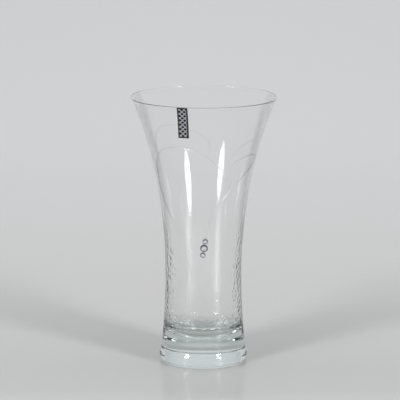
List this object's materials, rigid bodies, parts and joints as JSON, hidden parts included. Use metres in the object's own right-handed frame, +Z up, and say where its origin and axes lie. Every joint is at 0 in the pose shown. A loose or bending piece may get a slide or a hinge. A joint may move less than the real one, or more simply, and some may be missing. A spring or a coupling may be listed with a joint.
{
  "type": "glass vase",
  "caption": "Clear glass trumpet vase with a solid foot, a slim waist and a wide thin rim, small faceted stones on its front, cut arcs on its wall and a small label at the rim.",
  "frame": {"origin": "centre of the circle that the foot rests on", "axes": "+Z up along the axis of the vase; -Y is the front, where the stones are; +X is the viewer's right"},
  "size_m": [0.1366, 0.1366, 0.25],
  "materials": {
    "clear_glass": "fire-polished clear soda glass with a faint cool green tint in its depth, and shallow satin-cut arcs",
    "cut_crystal": "polished faceted crystal with a silvered back",
    "clear_adhesive": "clear cured adhesive, slightly hazy",
    "black_label": null
  },
  "bodies": {
    "root": {"vase_body": "clear_glass", "crystal_upper": "cut_crystal", "crystal_middle": "cut_crystal", "crystal_lower": "cut_crystal", "adhesive_upper": "clear_adhesive", "adhesive_middle": "clear_adhesive", "adhesive_lower": "clear_adhesive", "rim_label": "black_label"}
  },
  "joints": []
}
